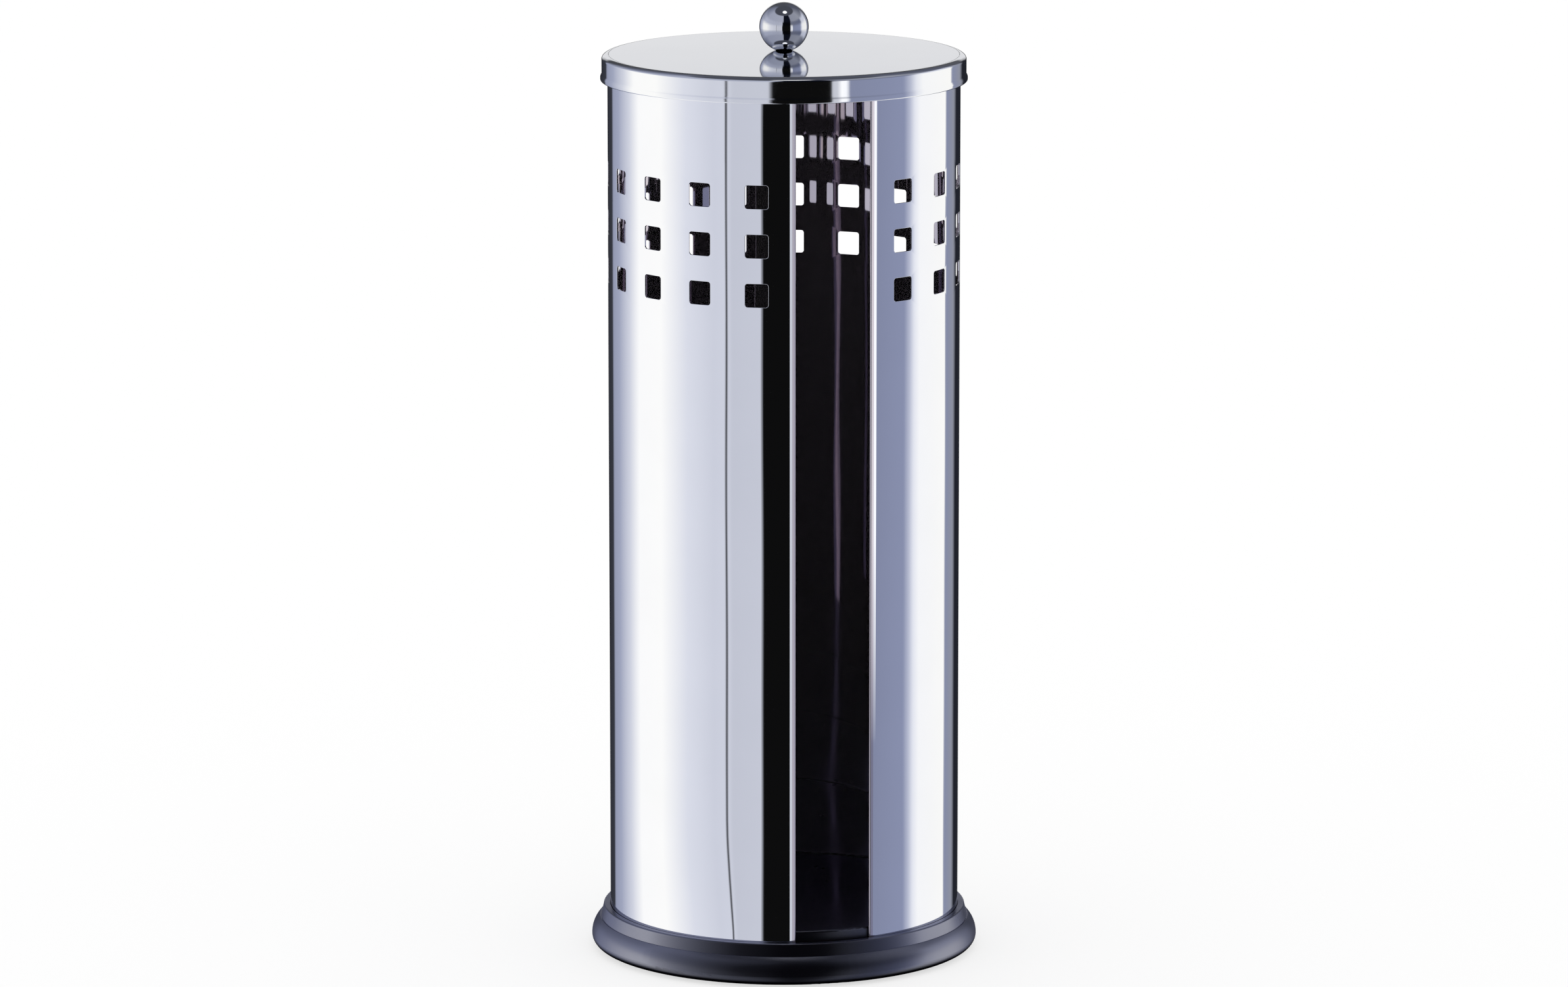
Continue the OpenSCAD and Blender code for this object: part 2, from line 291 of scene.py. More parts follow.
def square_loop(grow):
    """Closed outline of a hole grown by some millimetres: across, up and its outward normals."""
    half, r = HOLE_W / 2 - HOLE_CORNER, HOLE_CORNER + grow
    quarter = SIDE_STEPS // 4
    points, normals = [], []
    for side in range(4):
        turn = math.radians(90 * side)
        local = []
        for k in range(quarter):
            a = math.radians(-45 + 45 * k / quarter)
            local.append((half + r * math.cos(a), -half + r * math.sin(a), math.cos(a), math.sin(a)))
        for k in range(SIDE_STEPS - 2 * quarter):
            up = -half + 2 * half * k / (SIDE_STEPS - 2 * quarter)
            local.append((half + r, up, 1.0, 0.0))
        for k in range(quarter):
            a = math.radians(45 * k / quarter)
            local.append((half + r * math.cos(a), half + r * math.sin(a), math.cos(a), math.sin(a)))
        c, s = math.cos(turn), math.sin(turn)
        for x, y, nx, ny in local:
            points.append((x * c - y * s, x * s + y * c))
            normals.append((nx * c - ny * s, nx * s + ny * c))
    points.append(points[0])
    normals.append(normals[0])
    return np.array(points), np.array(normals)


def border_loop(half_w, half_h):
    """Outline of the rectangle round a hole, with one point for each point of the hole's outline."""
    points = []
    corners = [(half_w, -half_h), (half_w, half_h), (-half_w, half_h), (-half_w, -half_h)]
    for side in range(4):
        (x0, y0), (x1, y1) = corners[side], corners[(side + 1) % 4]
        for k in range(SIDE_STEPS):
            t = k / SIDE_STEPS
            points.append((x0 + (x1 - x0) * t, y0 + (y1 - y0) * t))
    points.append(points[0])
    return np.array(points)


def hole_patch(mesher, angle, z):
    """The wall round one square hole, with the rounded edges of its cut."""
    border = border_loop(COL_PITCH / 2 / DEGREES_PER_MM, ROW_PITCH / 2)
    rim, _ = square_loop(CUT_ROUND)
    for outside, rings in ((True, OUTER_RINGS), (False, INNER_RINGS)):
        t = np.array(rings)[:, None, None]
        loops = rim * (1 - t) + border * t
        wall(mesher, angle + loops[..., 0] * DEGREES_PER_MM, z + loops[..., 1], outside)
    rows, normals = [], []
    for start, edge_r in ((90, TUBE_R - CUT_ROUND), (0, TUBE_IN_R + CUT_ROUND)):
        for a in np.radians(np.linspace(start, start - 90, CUT_STEPS + 1)):
            loop, side = square_loop(CUT_ROUND * (1 - math.cos(a)))
            spot_angle, spot_z = angle + loop[:, 0] * DEGREES_PER_MM, z + loop[:, 1]
            radius = np.full(len(loop), edge_r + CUT_ROUND * math.sin(a))
            across = around(np.full(len(loop), angle) + 90)
            inward = -(side[:, :1] * across + side[:, 1:] * UP)
            rows.append(wall_place(spot_angle, spot_z, radius))
            normals.append(inward * math.cos(a) + around(spot_angle) * math.sin(a))
    mesher.grid(np.array(rows), np.array(normals))


def slot_edge(mesher, heights, mirror):
    """The folded edge beside the slot: land, round hem and the return that lies behind the wall."""
    hem_x = SLOT_HALF + SHEET
    inner_y = 2 * SHEET - LAND_Y
    back_r = TUBE_IN_R - SHEET
    angles = np.linspace(FIRST_SEAM, LAND_ANGLE, WALL_END_STEPS + 1)
    wall_end = (TUBE_R * around(angles)[:, :2], around(angles + slot_pull(angles))[:, :2])
    lean = math.radians(LAND_LEAN)
    flat = np.array([math.sin(lean), -math.cos(lean)])
    land_points = np.array([[LAND_X, -LAND_Y], [LAND_X - LAND_EASE, -LAND_Y], [hem_x, -LAND_Y]])
    land = (land_points, np.array([wall_end[1][-1], flat, flat]))
    hem = arc((hem_x, SHEET - LAND_Y), SHEET, 270, 90, HEM_STEPS)
    behind = (np.array([[hem_x, inner_y], [LAND_X, inner_y]]), np.array([[0.0, 1.0]] * 2))
    corner, tip = (math.degrees(math.asin(x / back_r)) for x in (LAND_X, RETURN_X))
    ring = around(np.linspace(corner, tip, RETURN_STEPS + 1))[:, :2]
    returned = (back_r * ring, -ring)
    tip_out = TUBE_IN_R * around(math.degrees(math.asin(RETURN_X / TUBE_IN_R)))[:2]
    cut = (np.array([back_r * ring[-1], tip_out]), np.array([[-ring[-1, 1], ring[-1, 0]]] * 2))
    flip = np.array([-1.0 if mirror else 1.0, 1.0])
    z = np.asarray(heights)[:, None]
    for part in (wall_end, land, hem, behind, returned, cut):
        points, normals = part
        place = np.empty((len(z), len(points), 3))
        place[..., :2], place[..., 2] = points * flip, z
        normal = np.zeros_like(place)
        normal[..., :2] = normals * flip
        if part is land and not mirror:
            turn = np.radians(np.interp(z, *RIGHT_LAND_TURN))
            normal[:, 1:, :2] = np.stack([np.sin(turn), -np.cos(turn)], -1)
        mesher.grid(place, normal)
    half = HEM_STEPS // 2
    outer = np.concatenate([wall_end[0], land[0], hem[0][:half + 1]])
    inner = np.concatenate([cut[0][::-1], returned[0][::-1], behind[0][::-1], hem[0][half:][::-1]])
    pick = np.linspace(0, len(inner) - 1, len(outer)).round().astype(int)
    for cap_z, up in ((heights[0], -1.0), (heights[-1], 1.0)):
        place = np.empty((2, len(outer), 3))
        place[0, :, :2], place[1, :, :2], place[..., 2] = outer * flip, inner[pick] * flip, cap_z
        normal = np.zeros_like(place)
        normal[..., 2] = up
        mesher.grid(place, normal)


def tube_tab(mesher, angle):
    """A tab that runs down from the wall and turns inwards under the base, with its screw's hole."""
    bend_out = TAB_BEND + SHEET
    mid = (TUBE_R - bend_out, TAB_LOW + bend_out)
    width = math.degrees(TAB_HALF / TUBE_R)
    turns = np.linspace(angle - width, angle + width, TAB_STEPS + 1)
    straight_out = line((TUBE_R, mid[1]), (TUBE_R, TUBE_LOW))
    straight_in = line((TUBE_IN_R, TUBE_LOW), (TUBE_IN_R, mid[1]))
    bent_out = arc(mid, bend_out, -90, 0, TAB_BEND_STEPS)
    bent_in = arc(mid, TAB_BEND, -90, 0, TAB_BEND_STEPS, True)
    revolve(mesher, (straight_out, bent_out, straight_in, bent_in), turns)
    out, along = around(float(angle)), around(angle + 90.0)
    reach = (mid[0] - TAB_IN_R) / 2
    centre = (mid[0] + TAB_IN_R) / 2
    border = border_loop(reach, TAB_HALF)
    border_normals = np.where(np.abs(border) == (reach, TAB_HALF), np.sign(border), 0.0)
    spin = np.radians(-45 + 360 * np.arange(4 * SIDE_STEPS + 1) / (4 * SIDE_STEPS))
    ring = np.stack([np.cos(spin), np.sin(spin)], 1)
    hole = ring * TAB_HOLE + np.array([SCREW_RING - centre, 0])
    for z, normal in ((TAB_LOW, -UP), (TAB_LOW + SHEET, UP)):
        t = np.array(TAB_RINGS)[:, None, None]
        loops = hole * (1 - t) + border * t
        place = (centre + loops[..., :1]) * out + loops[..., 1:] * along + z * UP
        mesher.grid(place, np.broadcast_to(normal, place.shape))
    for loop, facing in ((hole, -ring), (border, border_normals)):
        flat = (centre + loop[:, :1]) * out + loop[:, 1:] * along
        place = np.stack([flat + TAB_LOW * UP, flat + (TAB_LOW + SHEET) * UP])
        normal = facing[:, :1] * out + facing[:, 1:] * along
        mesher.grid(place, np.stack([normal, normal]))
    for side in (-1, 1):
        edge = around(angle + side * width)
        outside = np.concatenate([bent_out[0], straight_out[0]])
        inside = np.concatenate([bent_in[0], straight_in[0][::-1]])
        place = np.stack([p[:, :1] * edge + p[:, 1:] * UP for p in (outside, inside)])
        mesher.grid(place, np.broadcast_to(side * along, place.shape))


def bead(mesher, seam_z, angles):
    """The rolled top edge and its two ends beside the slot."""
    seam_angle = math.degrees(math.atan2(seam_z - BEAD_MID[1], TUBE_R - BEAD_MID[0]))
    revolve(mesher, [arc(BEAD_MID, BEAD_R, seam_angle, 180, BEAD_STEPS)], angles)
    spin = np.radians(np.linspace(0, 360, BEAD_STEPS + 1))
    ring = np.stack([np.cos(spin), np.sin(spin)], 1)
    for side, angle in ((-1, angles[0]), (1, angles[-1])):
        edge, along = around(angle), around(angle + 90.0)
        loops = [np.array(BEAD_MID) + ring * r for r in (BEAD_R, BEAD_HOLLOW_R)]
        place = np.stack([p[:, :1] * edge + p[:, 1:] * UP for p in loops])
        mesher.grid(place, np.broadcast_to(side * along, place.shape))


def tube():
    mesher = Mesher()
    low_z = HOLE_ROWS_Z[0] - ROW_PITCH / 2
    high_z = HOLE_ROWS_Z[-1] + ROW_PITCH / 2
    seam_z = BEAD_MID[1] - math.sqrt(BEAD_R ** 2 - (BEAD_MID[0] - TUBE_R) ** 2)
    for column in range(HOLE_COLS):
        for row in HOLE_ROWS_Z:
            hole_patch(mesher, FIRST_COL + column * COL_PITCH, row)
    seams = np.linspace(FIRST_SEAM, 360 - FIRST_SEAM, HOLE_COLS * SIDE_STEPS + 1)
    below = np.linspace(TUBE_LOW, low_z, LOW_WALL_STEPS + 1)
    above = np.linspace(high_z, seam_z, TOP_WALL_STEPS + 1)
    above_in = np.linspace(high_z, BEAD_MID[1], TOP_WALL_STEPS + 1)
    for heights, outside in ((below, True), (below, False), (above, True), (above_in, False)):
        angle, z = np.meshgrid(seams, heights)
        wall(mesher, angle, z, outside)
    bead(mesher, seam_z, np.concatenate([[LAND_ANGLE], seams, [360 - LAND_ANGLE]]))
    revolve(mesher, [line((TUBE_IN_R, TUBE_LOW), (TUBE_R, TUBE_LOW))], seams)
    hole_band = np.linspace(low_z, high_z, HOLE_BAND_STEPS + 1)
    heights = np.concatenate([below, hole_band[1:], above_in[1:]])
    for mirror in (False, True):
        slot_edge(mesher, heights, mirror)
    for angle in TAB_ANGLES:
        tube_tab(mesher, angle)
    return mesher.build("tube_polished")


def flare(start, end, lean):
    """Soft step between two upright lines of a section; lean is the share of its slope in the shine."""
    t = np.linspace(0, 1, FLARE_STEPS + 1)[:, None]
    ease = t * t * (3 - 2 * t)
    across = start[0] + (end[0] - start[0]) * ease
    points = np.concatenate([across, start[1] + (end[1] - start[1]) * t], 1)
    slope = lean * 6 * t * (1 - t) * (end[0] - start[0]) / (end[1] - start[1])
    normals = np.concatenate([np.ones_like(slope), -slope], 1)
    return points, normals / np.linalg.norm(normals, axis=1, keepdims=True)


def lid():
    mesher = Mesher()
    lip_r = LID_SHEET
    inside_r = LID_R - LID_SHEET
    crown_mid = (0.0, LID_TOP - CROWN_R)
    tangent = math.degrees(math.acos(LID_EDGE[0] / (CROWN_R - LID_EDGE_R)))
    hole_r = LID_HOLE + SMALL_ROUND
    hole_out = math.degrees(math.acos(hole_r / CROWN_R))
    hole_in = math.degrees(math.acos(hole_r / (CROWN_R - LID_SHEET)))
    turn = math.radians(LID_TIGHT_TURN)
    wide_r = LID_R - LID_TIGHT_R * (1 - math.cos(turn)) - LID_WIDE_R * math.cos(turn)
    crown_edge = math.sqrt(CROWN_R ** 2 - wide_r ** 2) + crown_mid[1]
    crown_start = math.degrees(math.acos(wide_r / CROWN_R))
    wide_mid = (wide_r, crown_edge - LID_WIDE_R)
    tight_z = wide_mid[1] + (LID_WIDE_R - LID_TIGHT_R) * math.sin(turn)
    tight_mid = (LID_R - LID_TIGHT_R, tight_z)
    bead_mid = (LID_R, SKIRT_LOW + lip_r)
    bead_top = (LID_R, SKIRT_LOW + LID_BEAD_H)
    edge_out = arc(wide_mid, LID_WIDE_R, LID_TIGHT_TURN, crown_start, WIDE_STEPS)
    edge_in = arc(LID_EDGE, LID_EDGE_R - LID_SHEET, 0, tangent, EDGE_IN_STEPS, True)
    # The hole's edge takes its heights from the crown's outer end; the screw's head hides it
    hole_top, hole_low = edge_out[0][-1][1] - SMALL_ROUND, edge_in[0][-1][1] + SMALL_ROUND
    section = [
        line((inside_r, LID_EDGE[1]), (inside_r, bead_mid[1])),
        arc(bead_mid, lip_r, 180, 360, LIP_STEPS),
        line((LID_R + lip_r, bead_mid[1]), (LID_R + lip_r, BEAD_FULL_Z)),
        flare((LID_R + lip_r, BEAD_FULL_Z), bead_top, BEAD_SHINE),
        line(bead_top, (LID_R, tight_z)),
        arc(tight_mid, LID_TIGHT_R, 0, LID_TIGHT_TURN, TIGHT_STEPS),
        edge_out,
        arc(crown_mid, CROWN_R, crown_start, hole_out, CROWN_STEPS),
        edge_in,
        arc(crown_mid, CROWN_R - LID_SHEET, tangent, hole_in, CROWN_STEPS, True),
        arc((hole_r, hole_top), SMALL_ROUND, 90, 180, SMALL_STEPS),
        line((LID_HOLE, hole_top), (LID_HOLE, hole_low)),
        arc((hole_r, hole_low), SMALL_ROUND, 180, 270, SMALL_STEPS),
    ]
    revolve(mesher, section, np.linspace(0, 360, LID_TURN_STEPS + 1))
    return mesher.build("lid_polished")


def knob():
    mesher = Mesher()
    mid = (0.0, LID_TOP + math.sqrt(KNOB_R ** 2 - KNOB_FLAT ** 2))
    low = -math.degrees(math.acos(KNOB_FLAT / KNOB_R))
    edge = SMALL_ROUND
    ball = arc(mid, KNOB_R, low + KNOB_FLAT_EDGE, 90, BALL_STEPS)
    section = [
        ball,
        line((KNOB_BORE + edge, LID_TOP), (KNOB_FLAT - edge, LID_TOP)),
        arc((KNOB_BORE + edge, LID_TOP + edge), edge, 180, 270, SMALL_STEPS),
        line((KNOB_BORE, KNOB_BORE_TOP), (KNOB_BORE, LID_TOP + edge)),
        line((0.0, KNOB_BORE_TOP), (KNOB_BORE, KNOB_BORE_TOP)),
        line((KNOB_FLAT - edge, LID_TOP), ball[0][0]),
    ]
    revolve(mesher, section, np.linspace(0, 360, KNOB_TURN_STEPS + 1))
    return mesher.build("knob_polished")


class Nodes:
    """Short way to add and join shader nodes."""

    def __init__(self, tree):
        self.tree = tree
        tree.nodes.clear()

    def add(self, kind, inputs=None, **settings):
        node = self.tree.nodes.new(kind)
        for name, value in settings.items():
            setattr(node, name, value)
        for name, value in (inputs or {}).items():
            self.put(node.inputs[name], value)
        return node

    def put(self, socket, value):
        if isinstance(value, bpy.types.NodeSocket):
            self.tree.links.new(value, socket)
        else:
            socket.default_value = value

    def math(self, operation, a, b=0.0, c=0.0):
        return self.add("ShaderNodeMath", {0: a, 1: b, 2: c}, operation=operation).outputs[0]

    def noise(self, place, scale, **inputs):
        return self.add("ShaderNodeTexNoise", {"Vector": place, "Scale": scale, **inputs}).outputs["Fac"]

    def mix_shaders(self, share, first, second):
        inputs = {0: share, 1: first.outputs[0], 2: second.outputs[0]}
        return self.add("ShaderNodeMixShader", inputs)

    def ramp(self, factor, stops):
        node = self.add("ShaderNodeValToRGB", {0: factor})
        elements = node.color_ramp.elements
        while len(elements) < len(stops):
            elements.new(0.5)
        for element, (place, _) in zip(elements, stops):
            element.position = place
        for element, (place, colour) in zip(elements, stops):
            element.position, element.color = place, (*colour, 1)
        return node.outputs[0]

    def mix(self, factor, a, b):
        node = self.add("ShaderNodeMix", data_type="RGBA")
        self.put(node.inputs[0], factor)
        self.put(node.inputs[6], a if isinstance(a, bpy.types.NodeSocket) else (*a, 1))
        self.put(node.inputs[7], b if isinstance(b, bpy.types.NodeSocket) else (*b, 1))
        return node.outputs[2]

    def span(self, value, low, high, to_low=0.0, to_high=1.0, smooth=False):
        node = self.add(
            "ShaderNodeMapRange",
            {0: value, 1: low, 2: high, 3: to_low, 4: to_high},
            interpolation_type="SMOOTHSTEP" if smooth else "LINEAR",
        )
        return node.outputs[0]


# Share of a grey's pull towards blue that its green channel takes
BLUE_IN_GREEN = 0.8


def grey(level, blue):
    """A colour of that display brightness, 0 to 1, drawn towards blue."""
    def linear(v):
        return v / 12.92 if v <= 0.04045 else ((v + 0.055) / 1.055) ** 2.4
    return (linear(level - blue), linear(level - BLUE_IN_GREEN * blue), linear(level))


# What stands round the object: azimuth in degrees, 0 at the camera and positive to the right,
# then display brightness and how far it is drawn towards blue. Up to eye level
LOW_RING = (
    (-180, 0.18, 0.03),   # dark room behind
    (-153, 0.27, 0.04),
    (-150, 0.73, 0.11),   # far end of the left wall
    (-138, 0.79, 0.11),
    (-122, 0.94, 0.05),
    (-110, 1.06, -0.02),  # left soft light
    (-88, 1.06, -0.027),
    (-66, 0.98, 0.04),    # left wall
    (-46, 0.93, 0.05),
    (-36.9, 0.94, 0.05),
    (-36.6, 0.02, 0.00),  # gap between two panels
    (-35.7, 0.02, 0.00),
    (-35.4, 0.93, 0.05),
    (-32, 0.89, 0.05),
    (-9.3, 0.90, 0.05),
    (-7.9, 0.06, 0.00),   # black flag before the camera
    (29.5, 0.06, 0.00),
    (30.5, 0.88, 0.04),   # bright gap beside the flag
    (34, 0.90, 0.04),
    (36.5, 1.09, 0.00),
    (40, 1.08, 0.01),
    (42, 0.69, 0.13),     # blue-grey wall on the right
    (81, 0.73, 0.14),
    (87, 0.88, 0.09),
    (92, 1.01, 0.03),
    (98, 1.05, -0.01),    # right soft light
    (131, 1.04, -0.03),
    (132.5, 0.70, 0.13),  # end of the right wall
    (147, 0.66, 0.06),
    (153, 0.18, 0.04),
    (180, 0.18, 0.03),
)
# Some 18 degrees above eye level
MID_RING = (
    (-180, 0.34, 0.00),   # dim room behind
    (-160, 0.30, 0.03),
    (-145, 0.66, 0.09),   # left wall
    (-106, 0.87, 0.09),
    (-28, 0.83, 0.08),
    (-8, 0.86, 0.07),
    (-6, 0.05, 0.02),     # black flag
    (30, 0.06, 0.02),
    (35, 0.55, 0.08),     # right wall
    (88, 0.56, 0.12),
    (98, 0.94, 0.06),     # right soft light
    (126, 0.96, 0.07),
    (150, 0.40, 0.05),
    (180, 0.34, 0.00),
)
# Some 40 degrees above eye level
HIGH_RING = (
    (-180, 0.36, 0.04),   # dim room behind
    (-158, 0.38, 0.05),
    (-140, 0.60, 0.10),   # left wall
    (-98, 0.78, 0.09),
    (-6, 0.80, 0.08),
    (0, 0.12, 0.05),      # black flag
    (32, 0.13, 0.06),
    (38, 0.68, 0.07),     # right wall
    (92, 0.70, 0.06),
    (145, 0.44, 0.08),
    (180, 0.36, 0.04),
)
# Degrees above eye level over which each ring, then the ceiling, takes the last one's place
LOW_TO_MID = (4.0, 18.0)
MID_TO_HIGH = (22.0, 34.0)
CEILING_FROM = (56.0, 61.0)
CEILING = (0.36, 0.05)
# A pale strip low behind the object, which comes and goes over these degrees of height and side
BACK_STRIP = (0.92, 0.008)
BACK_STRIP_RISE = (-1.0, 1.5)
BACK_STRIP_FALL = (16.0, 13.0)
BACK_STRIP_SIDE = (20.0, 10.0)
# A round lamp high over the object: its place and width in degrees, and its brightness
LAMP_HEIGHT = 78.0
LAMP_TURN = 15.0
LAMP_WIDTH = 18.0
LAMP_EASE = 2.0
LAMP_LEVEL = 1.4
# Light on rough surfaces, and the floor: its radius in metres, then how bright it is
SOFT_LIGHT = 0.95
FLOOR_R = 9.0
FLOOR_GREY = 0.36
FLOOR_GLOW = 0.66
FLOOR_BOUNCE = 0.8


def ring_stops(ring):
    """A ring's stops on a ramp that runs once round from behind the object."""
    return [((azimuth + 180) / 360, grey(level, blue)) for azimuth, level, blue in ring]


def towards_camera():
    """Level unit vectors from the object towards the camera and to the camera's right."""
    a = math.radians(CAM_TURN)
    return (-math.sin(a), -math.cos(a), 0.0), (math.cos(a), -math.sin(a), 0.0)


def lamp_way():
    """Unit vector towards the lamp over the object."""
    front, right = towards_camera()
    up, turn = math.radians(LAMP_HEIGHT), math.radians(LAMP_TURN)
    flat = [f * math.cos(turn) + r * math.sin(turn) for f, r in zip(front, right)]
    return (flat[0] * math.cos(up), flat[1] * math.cos(up), math.sin(up))


def studio():
    """White to the camera, plain and soft on rough surfaces, a ring of walls and lights in gloss."""
    world = bpy.data.worlds.new("studio")
    bpy.context.scene.world = world
    world.use_nodes = True
    world.cycles.sampling_method = "NONE"
    n = Nodes(world.node_tree)
    way = n.add("ShaderNodeTexCoord").outputs["Generated"]
    front, right = towards_camera()

    def along(direction):
        node = n.add("ShaderNodeVectorMath", {0: way, 1: direction}, operation="DOT_PRODUCT")
        return node.outputs["Value"]

    azimuth = n.math("DEGREES", n.math("ARCTAN2", along(right), along(front)))
    height = n.math("DEGREES", n.math("ARCSINE", along((0.0, 0.0, 1.0))))
    round_share = n.math("MULTIPLY_ADD", azimuth, 1 / 360, 0.5)
    low, mid, high = (n.ramp(round_share, ring_stops(ring)) for ring in (LOW_RING, MID_RING, HIGH_RING))
    ring = n.mix(n.span(height, *LOW_TO_MID, smooth=True), low, mid)
    ring = n.mix(n.span(height, *MID_TO_HIGH, smooth=True), ring, high)
    behind = n.math("SUBTRACT", 180.0, n.math("ABSOLUTE", azimuth))
    strip = n.math("MULTIPLY", n.span(height, *BACK_STRIP_RISE), n.span(height, *BACK_STRIP_FALL))
    strip = n.math("MULTIPLY", strip, n.span(behind, *BACK_STRIP_SIDE))
    ring = n.mix(strip, ring, grey(*BACK_STRIP))
    ring = n.mix(n.span(height, *CEILING_FROM, smooth=True), ring, grey(*CEILING))
    off = n.math("DEGREES", n.math("ARCCOSINE", n.math("MINIMUM", along(lamp_way()), 1.0)))
    lamp = n.span(off, LAMP_WIDTH / 2, LAMP_WIDTH / 2 - LAMP_EASE, smooth=True)
    ring = n.mix(lamp, ring, (LAMP_LEVEL,) * 3)
    path = n.add("ShaderNodeLightPath")
    gloss = n.add("ShaderNodeBackground", {"Color": ring, "Strength": 1.0})
    soft = n.add("ShaderNodeBackground", {"Color": WHITE, "Strength": SOFT_LIGHT})
    white = n.add("ShaderNodeBackground", {"Color": WHITE, "Strength": 1.0})
    lit = n.mix_shaders(path.outputs["Is Glossy Ray"], soft, gloss)
    seen = n.mix_shaders(path.outputs["Is Camera Ray"], lit, white)
    n.add("ShaderNodeOutputWorld", {"Surface": seen.outputs[0]})


def floor_material():
    """Bright to the camera with a soft shadow, and pale to the light that bounces off it."""
    material = bpy.data.materials.new("studio_floor")
    material.use_nodes = True
    n = Nodes(material.node_tree)
    path = n.add("ShaderNodeLightPath")
    plain = n.add("ShaderNodeBsdfDiffuse", {"Color": (*(FLOOR_GREY,) * 3, 1)})
    pale = n.add("ShaderNodeBsdfDiffuse", {"Color": (*(FLOOR_BOUNCE,) * 3, 1)})
    glow = n.add("ShaderNodeEmission", {"Color": WHITE, "Strength": FLOOR_GLOW})
    seen = n.add("ShaderNodeAddShader", {0: plain.outputs[0], 1: glow.outputs[0]})
    both = n.mix_shaders(path.outputs["Is Camera Ray"], pale, seen)
    n.add("ShaderNodeOutputMaterial", {"Surface": both.outputs[0]})
    return material


def floor():
    bpy.ops.mesh.primitive_circle_add(vertices=96, radius=FLOOR_R, fill_type="NGON", location=(0, 0, 0))
    disc = bpy.context.object
    disc.name = "studio_floor"
    disc.data.materials.append(floor_material())
    disc.visible_glossy = False


def camera():
    data = bpy.data.cameras.new("camera")
    data.sensor_width = SENSOR
    data.lens = CAM_LENS
    data.clip_end = CAM_REACH
    spot = bpy.data.objects.new("camera", data)
    bpy.context.scene.collection.objects.link(spot)
    front, _ = towards_camera()
    spot.location = (front[0] * CAM_DISTANCE, front[1] * CAM_DISTANCE, CAM_HEIGHT)
    spot.rotation_euler = (math.radians(90 - CAM_TILT), 0, math.radians(-CAM_TURN))
    bpy.context.scene.camera = spot


# Materials. A sheen's pairs are how far the surface turns away from the eye, then how much it shines
BASE_BLACK = (0.002, 0.0018, 0.003)
BASE_SHEEN = (
    (0.0, 0.006),
    (0.03, 0.015),
    (0.09, 0.07),
    (0.2, 0.18),
    (0.32, 0.32),
    (0.6, 0.34),
    (1.0, 0.5),
)
SHEEN_TINT = (0.80, 0.82, 1.0)
# Heights of the true normal over which the sheen comes in: painted shade that dims it on faces turning
# down, for the object's own shadow on the floor
PAINTED_SHADE_SLOPE = (-0.62, 0.08)
PAD_BLACK = (0.028, 0.028, 0.030)
ZINC = (0.58, 0.59, 0.60)
TUBE_STEEL = (0.80, 0.81, 0.85)
TUBE_INSIDE = (0.56, 0.52, 0.57)
INSIDE_FILM = 0.06
LID_STEEL = (0.80, 0.81, 0.84)
KNOB_CHROME = (0.72, 0.73, 0.76)
SMUDGE_SCALE = 38.0
SMUDGE_TONE = 0.985
SMUDGE_LOSS = 0.4
TONE_RANGE = (0.35, 0.65)
NOISE_RANGE = (0.3, 0.7)
CLOUD_SCALE = 60.0
CLOUD_SHINE = (-0.03, 0.05)
GRAIN_TONES = (0.85, 1.15)
GRAIN_DEPTH = 0.0001


def steel(name, colour, roughness, smudge, inside_colour=None):
    """Polished sheet with faint smudges in its shine; the tube's inner side may be less bright."""
    material = bpy.data.materials.new(name)
    material.use_nodes = True
    n = Nodes(material.node_tree)
    place = n.add("ShaderNodeTexCoord").outputs["Object"]
    smudges = n.noise(place, SMUDGE_SCALE, Detail=4.0, Roughness=0.6)
    shine = n.span(smudges, *NOISE_RANGE, roughness - smudge * SMUDGE_LOSS, roughness + smudge)
    tone = n.mix(n.span(smudges, *TONE_RANGE), colour, tuple(c * SMUDGE_TONE for c in colour))
    metallic = 1.0
    if inside_colour:
        flat = n.add("ShaderNodeVectorMath", {0: place, 1: (1, 1, 0)}, operation="MULTIPLY").outputs[0]
        reach = n.add("ShaderNodeVectorMath", {0: flat}, operation="LENGTH").outputs["Value"]
        inside = n.math("LESS_THAN", reach, (TUBE_R - SHEET / 2) * MM)
        tone = n.mix(inside, tone, inside_colour)
        metallic = n.math("MULTIPLY_ADD", inside, -INSIDE_FILM, 1.0)
    looks = {"Base Color": tone, "Metallic": metallic, "Roughness": shine}
    shader = n.add("ShaderNodeBsdfPrincipled", looks)
    n.add("ShaderNodeOutputMaterial", {"Surface": shader.outputs[0]})
    return material


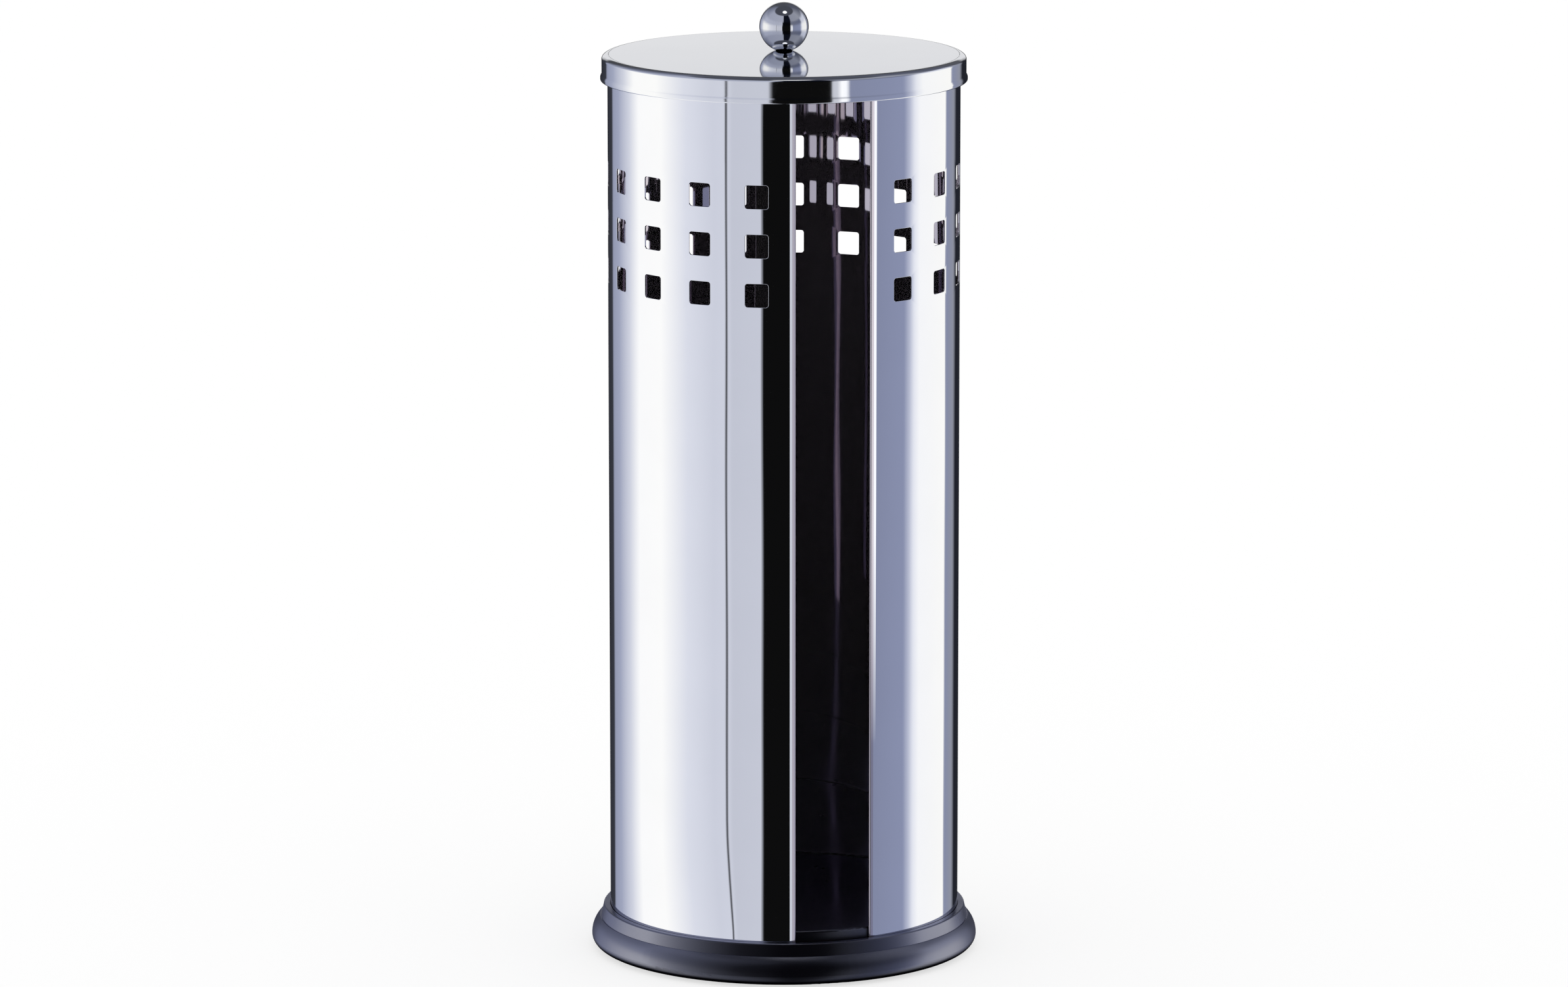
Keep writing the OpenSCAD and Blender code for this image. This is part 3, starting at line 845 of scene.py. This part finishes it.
def plastic(name, colour, roughness, grain, speckle, sheen=None):
    """Moulded plastic or rubber with a fine grain; sheen is how much it shines at each angle, and
    painted shade fades it on faces that turn down.
    """
    material = bpy.data.materials.new(name)
    material.use_nodes = True
    n = Nodes(material.node_tree)
    place = n.add("ShaderNodeTexCoord").outputs["Object"]
    pits = n.noise(place, speckle, Detail=3.0, Roughness=0.6)
    cloud = n.noise(place, CLOUD_SCALE, Detail=3.0)
    shine = n.span(cloud, *NOISE_RANGE, *(roughness + change for change in CLOUD_SHINE))
    dark, light = ([c * tone for c in colour] for tone in GRAIN_TONES)
    tone = n.mix(n.span(pits, *NOISE_RANGE), dark, light)
    bump = n.add("ShaderNodeBump", {"Strength": grain, "Distance": GRAIN_DEPTH, "Height": pits})
    normal = bump.outputs[0]
    looks = {"Base Color": tone, "Roughness": shine, "Normal": normal}
    surface = n.add("ShaderNodeBsdfPrincipled", looks)
    if sheen:
        surface.inputs["Specular IOR Level"].default_value = 0.0
        facing = n.add("ShaderNodeLayerWeight", {"Blend": 0.5, "Normal": normal}).outputs["Facing"]
        strength = n.ramp(facing, [(spot, (level,) * 3) for spot, level in sheen])
        true_normal = n.add("ShaderNodeNewGeometry").outputs["Normal"]
        slope = n.add("ShaderNodeSeparateXYZ", {0: true_normal}).outputs["Z"]
        # Painted shade: the sheen fades on faces that turn down, standing in for the object's shadow on
        # the floor seen in them
        strength = n.math("MULTIPLY", strength, n.span(slope, *PAINTED_SHADE_SLOPE, smooth=True))
        looks = {"Color": (*SHEEN_TINT, 1), "Roughness": shine, "Normal": normal}
        surface = n.mix_shaders(strength, surface, n.add("ShaderNodeBsdfGlossy", looks))
    n.add("ShaderNodeOutputMaterial", {"Surface": surface.outputs[0]})
    return material


def dress(piece, material):
    piece.data.materials.clear()
    piece.data.materials.append(material)


def main():
    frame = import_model()
    nodes = frame["nodes"]
    base_looks = {"roughness": 0.3, "grain": 0.12, "speckle": 2600.0, "sheen": BASE_SHEEN}
    base_plastic = plastic("base_plastic_grained", BASE_BLACK, **base_looks)
    pad_rubber = plastic("pad_rubber_matt", PAD_BLACK, roughness=0.7, grain=0.3, speckle=1500.0)
    zinc = steel("fastener_zinc_plated", ZINC, roughness=0.28, smudge=0.08)
    for name, node in nodes.items():
        if name == "base_moulding":
            dress(node, base_plastic)
        elif name.startswith("foot_pad"):
            dress(node, pad_rubber)
        elif name in ("base_screws", "knob_screw", "knob_washer"):
            dress(node, zinc)
    tube_looks = {"roughness": 0.022, "smudge": 0.01, "inside_colour": TUBE_INSIDE}
    tube_steel = steel("tube_steel_mirror", TUBE_STEEL, **tube_looks)
    lid_steel = steel("lid_steel_mirror", LID_STEEL, roughness=0.05, smudge=0.02)
    knob_chrome = steel("knob_chrome_mirror", KNOB_CHROME, roughness=0.02, smudge=0.01)
    made = (
        (tube(), "tube_shell", "holder", "tube_steel", tube_steel),
        (lid(), "lid_shell", "lid", "lid_steel", lid_steel),
        (knob(), "knob_ball", "lid", "knob_chrome", knob_chrome),
    )
    for piece, node, body, slot, material in made:
        dress(piece, material)
        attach(piece, body)
        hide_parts(node)
    studio()
    floor()
    camera()
    bpy.context.scene.view_settings.view_transform = "Standard"


main()
